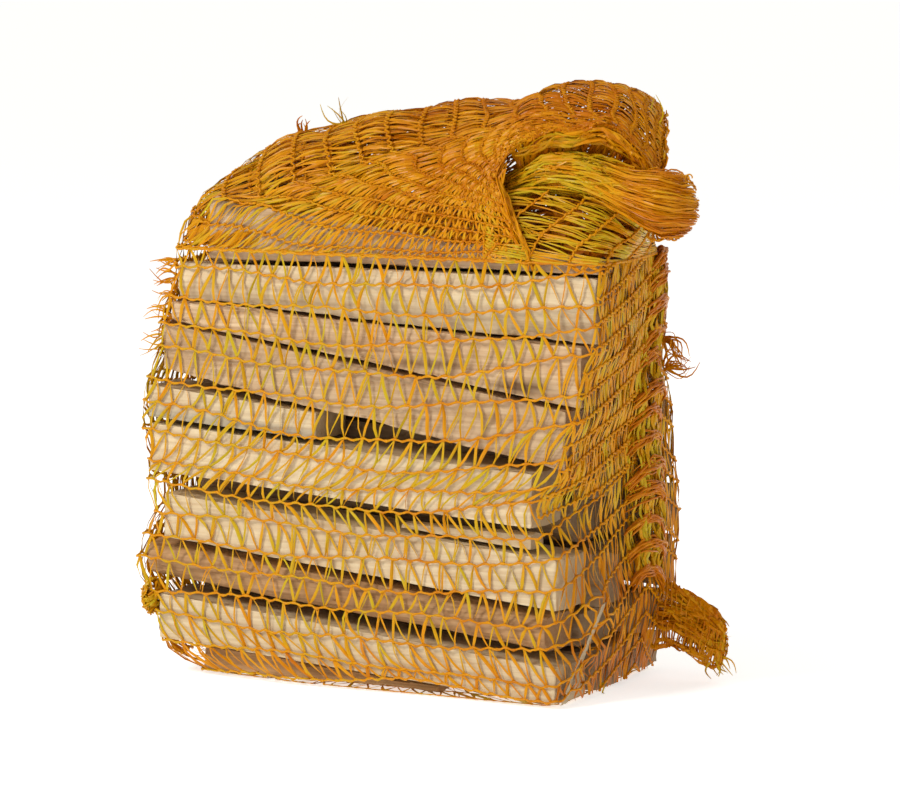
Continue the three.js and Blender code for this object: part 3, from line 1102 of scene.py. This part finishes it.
def hood_height(x, y):
    """Height of the hood in mm over a place in plan, in mm: a rounded tent with a pleat near the lip."""
    crest = np.interp(x, CREST_X, CREST_Z)
    base = SIDE_TOP / MM
    height = base + (crest - base) * np.sqrt(np.clip(1 - (y / HOOD_HALF_DEPTH) ** 2, 0, 1))
    pleat = -9 * np.exp(-(((x - 96) / 12) ** 2)) + 3.5 * np.exp(-(((x - 68) / 8) ** 2))
    ripple = 1.3 * np.sin(x / 9.0 + y / 14.0) + 1.0 * np.sin(x / 17.0 - y / 9.0)
    return height + smooth(4, -22, y) * pleat + ripple * smooth(base + 4, base + 30, height)


def wood_top(x, y):
    """Height of the topmost stick over a place in plan."""
    hit, _, _, _ = WOOD.ray_cast(Vector((x, y, 0.5)), Vector((0, 0, -1)))
    return hit.z if hit else 0.0


def top_column(place):
    """Which column of the sides' top edge is nearest to a place in plan, in mm."""
    return int(np.argmin(np.linalg.norm(side.grid[-1, :, :2] - np.array(place) * MM, axis=1)))


def top_edge(steps):
    """Points of the sides' top edge at columns and parts of columns, on past the seam."""
    return side.sample(side.grid, np.mod(steps / AROUND, 1.0), np.ones(len(steps)))


def hood_plan(edge, rows):
    """A net of places in plan between the sides' top edge, the lip and the two ends that join them."""
    share = np.linspace(0, 1, len(edge))
    lip = [np.interp(share, list(LIP), [p[axis] * MM for p in LIP.values()]) for axis in (0, 1)]
    lip = np.stack(lip, axis=1)
    front = through([tuple(edge[0] / MM)] + HOOD_FOLD, rows)
    back = through([tuple(edge[-1] / MM), LIP[1.0]], rows)
    w = np.linspace(0, 1, rows)[:, None, None]
    u = share[None, :, None]
    plan = (1 - w) * edge[None] + w * lip[None] + (1 - u) * front[:, None] + u * back[:, None]
    corners = (1 - w) * (1 - u) * edge[0] + (1 - w) * u * edge[-1] + w * (1 - u) * lip[0] + w * u * lip[-1]
    return plan - corners


def evenly_up(grid):
    """The same columns of points, each spaced evenly along its own length."""
    return np.stack([spread(column, len(grid)) for column in np.moveaxis(grid, 1, 0)], axis=1)


def hood_surface(rows, columns):
    """Spans the hood between the sides' top edge and the lip, resting on the sticks."""
    steps = np.linspace(top_column(HOOD_START), top_column(HOOD_END), columns)
    edge = top_edge(steps)
    plan = hood_plan(edge[:, :2], rows)
    height = hood_height(plan[..., 0] / MM, plan[..., 1] / MM) * MM
    grid = np.concatenate([plan, height[..., None]], axis=-1)
    wood = np.array([[wood_top(x, y) for x, y in row] for row in plan]) + 1.3 * MM
    for _ in range(4):
        grid[..., 2] = np.maximum(grid[..., 2], wood)
        grid[1:-1, 1:-1] = (grid[1:-1, 1:-1] * 2 + grid[:-2, 1:-1] + grid[2:, 1:-1]) / 4
    grid[..., 2] = np.maximum(grid[..., 2], wood)
    grid[0] = edge
    return evenly_up(grid)


def hood_shade(points):
    """Gold on the left, ochre on the fold, deep orange in the pleat behind it: layered net and painted shade
    in that hollow.
    """
    x, y, z = points[..., 0], points[..., 1], points[..., 2]
    # partly painted shade: the hollow of the pleat behind the fold
    pleat = 0.5 * np.exp(-(((x - 98) / 26) ** 2) - ((y + 30) / 16) ** 2)
    return 0.36 + 0.22 * smooth(-90, 40, x) + pleat - 0.12 * smooth(268, 245, z)


def hood_v(u, row):
    """Rows crowd together towards the lip, where the net is gathered."""
    return 1 - (1 - row / (HOOD_ROWS - 1)) ** 1.35 + 0.005 * np.sin(40 * u + row)


hood = Surface(hood_surface(70, 220), False)
hood_chains, hood_tapes = Strands(), Strands()
knit(
    (hood_chains, hood_tapes), hood, HOOD_ROWS, HOOD_WALES, hood_v, hood_shade, (0.5, 0.72),
    width=0.8, slack=1.5 * MM,
)
strand_piece("net_hood_chains", hood_chains, 4, 1.0)
strand_piece("net_hood_tapes", hood_tapes, 4, TAPE_FLATNESS)

# the hood is doubled: a second, looser layer shows through the first
inner_net = inner_chains, inner_tapes = Strands(), Strands()
knit(
    inner_net, hood.under(4.5 * MM, 0.0, 0.62), 13, 64,
    lambda u, row: 0.1 + 0.62 * row / 12, moved(hood_shade, 0.14), (0.64, 0.86), width=1.2, slack=1.0 * MM,
)


def lay_gathered_stitches(count):
    """Short stitches stand close together where the fold is gathered."""
    foot = 0.26 * net_draw.beta(1.2, 1.6, count)
    rise = net_draw.uniform(0.3, 0.97, count)
    tip = foot + net_draw.normal(0.009, 0.004, count), rise + net_draw.uniform(0.03, 0.06, count)
    lay_tapes(inner_tapes, hood, (foot, rise), tip, moved(hood_shade, -0.05), 0.62, 0.8 * MM)


lay_gathered_stitches(1100)
# and a third lies bunched on the left shoulder
knit(
    inner_net, hood.under(2.2 * MM, 0.3, 0.6), 12, 40,
    lambda u, row: 0.02 + 0.6 * row / 11, moved(hood_shade, 0.05), (0.55, 0.77), width=1.5, slack=1.0 * MM,
)
strand_piece("net_inner_chains", inner_chains, 4, 1.0)
strand_piece("net_inner_tapes", inner_tapes, 4, TAPE_FLATNESS)


# ---------------------------------------------------------------- the folded mouth

NECK_TOP = [
    (56, -40, 264), (74, -36, 276), (92, -30, 282), (110, -26, 282), (128, -20, 276),
    (130, -8, 266), (120, 10, 256), (110, 30, 250), (104, 48, 246),
]
WAD_LOW = [
    (48, -44, 236), (70, -42, 234), (95, -40, 234), (116, -34, 236), (118, -8, 240), (108, 20, 244),
]
WAD_HIGH = [
    (52, -38, 274), (74, -36, 284), (95, -34, 284), (114, -28, 278), (116, -6, 266), (108, 18, 258),
]
HANK_TOP = [
    (56, -43, 271), (82, -40, 287), (106, -38, 285), (130, -36, 278), (148, -34, 280), (162, -32, 273),
]
HANK_BOTTOM = [
    (60, -45, 264), (84, -43, 268), (107, -42, 266), (131, -39, 254), (147, -36, 244), (161, -33, 245),
]
HANK_CLOSE = 0.86  # where along it the hank starts to round off
HANK_CHAINS = 22
SHEET_START = (58, -67)  # in plan, where the slack sheet leaves the sides' top edge
SHEET_END = (110, 66)
SHEET_HIGH = [
    (56, -58, 266), (76, -52, 269), (96, -49, 268), (116, -45, 263), (130, -34, 254), (128, -16, 250),
    (118, 14, 252), (106, 44, 256),
]
CELL_CHAINS = 9
CELL_RUNGS = 52

folds, fold_chains = Strands(), Strands()


def shares(points):
    """Shares along a strand of so many points."""
    return np.linspace(0, 1, points)[None]


# the lining turns in under the lip and runs down into the neck
lining = Surface(between(through(hood.grid[-1] / MM, 120), through(NECK_TOP, 120), 24), False)


def lining_shade(points):
    """Deep orange, layered strands with painted shade in the hollow under the lip, lighter and darker from
    fold to fold.
    """
    # the deep orange base is partly painted shade inside the mouth
    return 0.8 + 0.2 * np.sin(points[..., 0] / 3.1 + points[..., 2] / 5.0)


def lay_lining(count):
    """Strands that run in from the lip to the neck."""
    share = shares(9)
    start = drawn(0, 0.96, count)
    lay_lines(
        folds, lining, start + 0.05 * share + strayed(0.02, count) * share, 0 * start + share,
        1.3 * MM, lining_shade, drawn(-2.0, 1.0, count) * MM, 0.8 * MM, 0.8,
    )


def lip_shade(points):
    """The rolled edge, brightest where it faces the window."""
    return 0.62 - 0.3 * np.exp(-(((points[..., 0] - 92) / 14) ** 2))


def lay_lip(count):
    """Strands that follow the lip."""
    share = shares(9)
    lay_lines(
        folds, lining, drawn(0, 0.75, count) + drawn(0.1, 0.24, count) * share,
        drawn(0, 0.35, count) + 0 * share,
        1.0 * MM, lip_shade, drawn(0.5, 3.0, count) * MM, 1.0 * MM, 0.6,
    )


def lay_wad(count):
    """The crumpled net inside the mouth, which closes it off behind the slack sheet; its deep brown is
    painted shade of the hollow.
    """
    wad = Surface(between(through(WAD_LOW, 60), through(WAD_HIGH, 60), 14), False)
    share = shares(9)
    lay_lines(
        folds, wad, drawn(-0.1, 0.9, count) + drawn(0.12, 0.3, count) * share,
        drawn(0, 1, count) + strayed(0.15, count) * share,
        # 0.95: a painted shade, as dark as the hollow of the mouth
        1.4 * MM, 0.95, drawn(-6, 2, count) * MM, 1.6 * MM, 0.9,
    )


def hank_surface(rows, around):
    """The mouth's end, drawn out to the right: a flattened sack between its upper and lower outline."""
    top, bottom = through(HANK_TOP, rows), through(HANK_BOTTOM, rows)
    close = np.clip((np.linspace(0, 1, rows) - HANK_CLOSE) / (1 - HANK_CLOSE), 0, 1)
    middle, half = (top + bottom) / 2, (top - bottom) / 2 * np.sqrt(1 - 0.98 * close**2)[:, None]
    turn = np.linspace(0, 2 * math.pi, around, endpoint=False)[None, :, None]
    depth = (1.15 * np.linalg.norm(half, axis=1))[:, None, None] * np.array((0.0, -1.0, 0.0))
    return middle[:, None] + half[:, None] * np.cos(turn) + depth * np.sin(turn)


def hank_shade(points):
    """Olive yellow on the frills, ochre round the turned end."""
    return 0.2 + 0.36 * smooth(100, 140, points[..., 0]) + 0.25 * smooth(266, 250, points[..., 2])


def lay_frills(hank, count, inset, shade):
    """Strands that run some way along the hank."""
    share = shares(10)
    around = drawn(0, 1, count) + strayed(0.06, count) * share
    reach = drawn(0.5, 0.86, count)
    begin = drawn(0.0, 0.55, count)
    run = begin + (reach - begin) * share
    lay_lines(folds, hank, around, run, 0.75 * MM, shade, inset * MM, 1.3 * MM, 0.8)


def lay_hank_end(hank, count):
    """Strands that run out along the hank, each at its own height, and turn round the blunt end."""
    height = drawn(-0.97, 0.97, count)
    close = np.sqrt(1 - height**2) * np.sin(np.linspace(0, math.pi / 2, 11))[None]
    turned = np.arccos(np.clip(height / np.sqrt(1 - close**2), -1, 1)) / (2 * math.pi)
    start = drawn(0.45, 0.8, count)
    before = start + (HANK_CLOSE - start) * shares(6)[:, :-1]
    lay_lines(
        folds, hank, np.concatenate([np.repeat(turned[:, :1], 5, axis=1), turned], axis=1),
        np.concatenate([before, HANK_CLOSE + (1 - HANK_CLOSE) * close], axis=1),
        0.62 * MM, moved(hank_shade, 0.1), drawn(-1.0, 1.6, count) * MM, 0.5 * MM, 0.7,
    )


def lay_hank():
    """The hank's frills in three layers, its blunt end and its stitched chains."""
    grid = hank_surface(40, 48)
    hank = Surface(grid, True, grid.mean(axis=(0, 1)))
    for layer, (count, inset) in enumerate(((260, 0.0), (160, -2.0), (110, -4.5))):
        lay_frills(hank, count, inset, moved(hank_shade, 0.2 * layer))
    lay_hank_end(hank, 210)
    run = np.linspace(0.02, 0.95, 130)
    for k in range(HANK_CHAINS):
        around = (k + 0.5) / HANK_CHAINS + 0.03 * np.sin(run * 9 + 1.7 * k)
        lay_chain(fold_chains, hank, around, run, run * 34, 0.005, moved(hank_shade, 0.2), 0.72)


def sheet_surface():
    """Bellies out a little between the top edge of the sides and the hank."""
    steps = np.linspace(top_column(SHEET_START), AROUND + top_column(SHEET_END), 120)
    grid = between(top_edge(steps), through(SHEET_HIGH, 120), 20)
    grid[..., 1] -= 3 * MM * np.sin(math.pi * np.linspace(0, 1, 20))[:, None]
    return keep_off_wood(grid)


def cell_line(k, share):
    """Chain k climbs from the lower edge towards the right."""
    u = -0.15 + 0.13 * k + 0.2 * share + 0.012 * np.sin(7 * share + k)
    return np.clip(u, 0, 1), share


def lay_sheet():
    """The slack sheet that closes the right front corner under the hank, in long open cells."""
    sheet = Surface(sheet_surface(), False)
    run = np.linspace(0, 1, 90)
    for k in range(CELL_CHAINS):
        lay_chain(fold_chains, sheet, *cell_line(k, run), run * 12, 0.012, 0.55, 0.95)
        if k + 1 < CELL_CHAINS:
            low = np.sort(net_draw.uniform(0, 1, CELL_RUNGS))
            high = np.clip(low + net_draw.normal(-0.08, 0.05, CELL_RUNGS), 0, 1)
            lay_tapes(folds, sheet, cell_line(k, low), cell_line(k + 1, high), 0.2, 0.6, 1.5 * MM)


def lay_fold_cord(count):
    """Strands drawn together along the hood's fold, down to the corner."""
    edge = Surface(between(hood.grid[:, 0], hood.grid[:, 0] + np.array((5, -1.5, -3)) * MM, 6), False)
    share = shares(12)
    lay_lines(
        folds, edge, drawn(0, 0.3, count) + drawn(0.3, 0.7, count) * share, drawn(0, 1, count) + 0 * share,
        0.8 * MM, 0.6, drawn(-2, 1.5, count) * MM, 1.2 * MM, 0.7,
    )


lay_lining(300)
lay_lip(90)
lay_wad(560)
lay_hank()
lay_sheet()
lay_fold_cord(26)
strand_piece("net_fold_strands", folds, 4, 0.28)
strand_piece("net_fold_chains", fold_chains, 5, 1.0)


# ---------------------------------------------------------------- the seam on the right end

SEAM_HALF = 0.0283  # a pleat's half length across the seam, as a share of the way round
PLEAT_ROWS = range(1, 14)
PLEAT_ARCH = 9 * MM
PROUD = 6 * MM

seam, loose = Strands(), Strands()


def pleat_level(row):
    """v of the middle of a row's pleat."""
    return float(side_v(np.array(0.999), row))


def arch_of(across):
    """A pleat's height by the place across the seam, -1 to 1."""
    return 1 - np.abs(across) ** 2.4


def lay_pleat(row):
    """A row's stitches drawn up in an arch over the seam; gives how proud and how slanted it is."""
    proud = PROUD * net_draw.uniform(0.6, 1.25)
    lean = net_draw.uniform(-1, 5) * MM
    across = np.linspace(-1, 1, 26)
    arch = np.clip(arch_of(across), 0, 1)
    for _ in range(17):
        half = SEAM_HALF * net_draw.uniform(0.75, 1.05)
        rise = PLEAT_ARCH * arch + lean * across + net_draw.normal(0, 1.6 * MM)
        lift = proud * arch * net_draw.uniform(0.8, 1.1) + 0.6 * MM
        v = pleat_level(row) + rise / side_height
        lay_lines(seam, side, 1.0 - half * across[None], v[None], 0.8 * MM, 0.98, lift[None], 0.9 * MM)
    return proud, lean


def lay_pleat_tapes(row, upper, lower, count=30):
    """Tapes hanging from one pleat to the pleat below. upper and lower are (proud, lean)."""
    across = drawn(-1, 1, count)
    share = shares(6)
    across_run = across * (1 - 0.1 * share) + strayed(0.12, count) * share
    proud, lean = (upper[k] * (1 - share) + lower[k] * share for k in (0, 1))
    rise = (PLEAT_ARCH * arch_of(across) + lean * across) / side_height
    level = pleat_level(row) * (1 - share) + pleat_level(row - 1) * share
    lift = proud * arch_of(across) * (0.75 + 0.25 * np.abs(2 * share - 1)) + 0.5 * MM
    lay_lines(loose, side, 1.0 - SEAM_HALF * across_run, level + rise, 1.0 * MM, 0.22, lift, 0.5 * MM, 0.7)


pleats = {row: lay_pleat(row) for row in PLEAT_ROWS}
for row in PLEAT_ROWS[1:]:
    lay_pleat_tapes(row, pleats[row], pleats[row - 1])


# ---------------------------------------------------------------- loose ends

TAIL_TOP = [(108, 46, 56), (118, 46, 50), (131, 45, 44), (143, 43, 38), (148, 42, 30)]
TAIL_BOTTOM = [(104, 46, 14), (116, 45, 17), (127, 44, 13), (138, 43, 7), (147, 42, 9)]
TAIL_LADDERS = 13
TUFTS = [  # foot, tip, number of ends, scatter in mm, shade
    ((-127, -66, 224), (-138, -68, 222), 9, 3.0, 0.6),
    ((-127, -66, 216), (-141, -68, 213), 9, 3.5, 0.7),
    ((-128, -67, 206), (-138, -68, 204), 8, 3.5, 0.4),
    ((-131, -67, 194), (-145, -68, 192), 9, 3.5, 0.6),
    ((-134, -66, 184), (-146, -68, 176), 8, 3.0, 0.4),
    ((-84, -5, 291), (-80, -8, 298), 6, 1.6, 0.8),
    ((-56, -10, 296), (-66, -10, 305), 3, 1.8, 0.1),
    ((-56, -10, 296), (-57, -10, 309), 3, 1.6, 0.1),
    ((121, 0, 298), (124, 0, 317), 2, 0.5, 0.0),
    ((112, 42, 184), (122, 38, 172), 16, 3.0, 0.7),
    ((110, 44, 168), (124, 40, 171), 14, 2.6, 0.7),
    ((103, -20, 6), (104, -24, 1.5), 3, 0.8, 0.0),
    ((142, 42, 30), (149, 41, 28), 4, 1.2, 0.3),
    ((143, 42, 22), (150, 41, 20), 4, 1.2, 0.3),
    ((144, 42, 14), (151, 41, 6), 6, 1.8, 0.2),
    ((142, 42, 12), (143, 41, 3), 6, 1.8, 0.2),
]
TUFT_RADIUS = 0.6 * MM
LUMP = np.array((-145.0, -64.0, 41.0))


def lay_tail_side(flap):
    """One side of the seam's tail: strands along it, ladders across it and tapes between."""
    share = shares(10)
    begin = drawn(-0.1, 0.5, 75)
    height = drawn(0, 1, 75)
    height = np.where(np.abs(height - 0.2) < 0.1, height + 0.25, height)
    lay_lines(
        loose, flap, begin + drawn(0.35, 0.7, 75) * share, height + strayed(0.12, 75) * share,
        1.0 * MM, 0.62, 0.0, 0.8 * MM, 0.8,
    )
    run = np.linspace(0.0, 1.0, 16)
    for k in range(TAIL_LADDERS):
        u = (k + 0.5) / TAIL_LADDERS + 0.015 * np.sin(9 * run + k)
        lay_chain(seam, flap, u, run, run * 3, 0.01, 0.75, 0.75)
    place = net_draw.uniform(0.35, 1, 46)
    low, high = (place, net_draw.uniform(0, 0.6, 46)), (place + 0.05, net_draw.uniform(0.4, 1, 46))
    lay_tapes(loose, flap, low, high, 0.45, 0.9)


def lay_tuft(foot, tip, count, scatter, shade):
    """A few loose ends fanning from a foot to about a tip."""
    foot, tip = np.array(foot, float) * MM, np.array(tip, float) * MM
    share = np.linspace(0, 1, 7)[None, :, None]
    ends = tip + net_draw.normal(0, scatter * MM, (count, 1, 3))
    bend = np.cross(tip - foot, (0.3, 1, 0.2)) * net_draw.uniform(-0.45, 0.45, (count, 1, 1))
    points = foot * (1 - share) + ends * share + bend * np.sin(np.pi * share)
    points += net_draw.normal(0, 1.0 * MM, (count, 1, 3))
    facing = np.tile((0.4, -0.9, 0.1), (*points.shape[:2], 1))
    loose.add(points, facing, TUFT_RADIUS * (1 - 0.75 * share[..., 0] ** 2), strayed(0.6, count), shade)


def lay_loops(middle, size, count, shade):
    """Small stray loops of one strand, within a box, in mm."""
    turn = np.linspace(0, 1.7 * math.pi, 12)
    circle = np.stack([np.cos(turn), 0.4 * np.sin(turn), np.sin(turn)], axis=1)
    facing = np.tile((0.0, -1.0, 0.0), (1, len(turn), 1))
    for _ in range(count):
        centre = np.array(middle) + net_draw.uniform(-1, 1, 3) * np.array(size)
        ring = centre + net_draw.uniform(1.6, 3.2) * circle
        seam.add(ring[None] * MM, facing, 0.42 * MM, 0.0, shade)


def lump_surface():
    """The wadded corner of net low on the left."""
    rise = np.linspace(-0.48, 0.48, 12)[:, None] * math.pi
    turn = np.linspace(0, 2 * math.pi, 24, endpoint=False)[None]
    across, along_it = 5 * np.cos(rise) * np.cos(turn), 9 * np.cos(rise) * np.sin(turn)
    return (LUMP + np.stack([across, along_it, 10 * np.sin(rise) + 0 * turn], axis=-1)) * MM


def lay_lump(count):
    """Strands wound over the wadded corner."""
    share = shares(10)
    lay_lines(
        loose, Surface(lump_surface(), True, LUMP * MM), drawn(0, 1, count) + drawn(0.1, 0.5, count) * share,
        drawn(0, 0.6, count) + 0.4 * share, 1.1 * MM, 0.45, 0.0, 0.8 * MM, 0.8,
    )


tail_grid = between(through(TAIL_BOTTOM, 60), through(TAIL_TOP, 60), 16)
for shift in (-1.6 * MM, 1.6 * MM):
    lay_tail_side(Surface(tail_grid + np.array((0, shift, 0)), False, (0.12, 0.2, 0.03)))
for tuft in TUFTS:
    lay_tuft(*tuft)
lay_loops((146, -37, 246), (9, 1, 1), 9, 0.6)
lay_loops((154, -34, 275), (5, 1, 1), 5, 0.5)
lay_lump(60)
strand_piece("net_seam_pleats", seam, 5, 1.0)
strand_piece("net_loose_tapes", loose, 4, 0.22)


# ---------------------------------------------------------------- under the bundle


def base_surface():
    """The net drawn flat under the lowest sticks."""
    grid = side.grid[0][None] * np.linspace(0.93, 0.04, 20)[:, None, None]
    grid[..., 2] = FLOOR_GAP
    return grid


base_chains, base_tapes = Strands(), Strands()
knit(
    (base_chains, base_tapes), Surface(base_surface(), True, (0, 0, 0.1)), 6, 60,
    lambda u, row: row / 5 + 0 * u, 0.24, (0.38, 0.38), closed=True, width=0.9,
)
for run in base_chains.points + base_tapes.points:
    run[:, 2] = FLOOR_GAP
strand_piece("net_base_chains", base_chains, 4, 0.5)
strand_piece("net_base_tapes", base_tapes, 4, TAPE_FLATNESS)
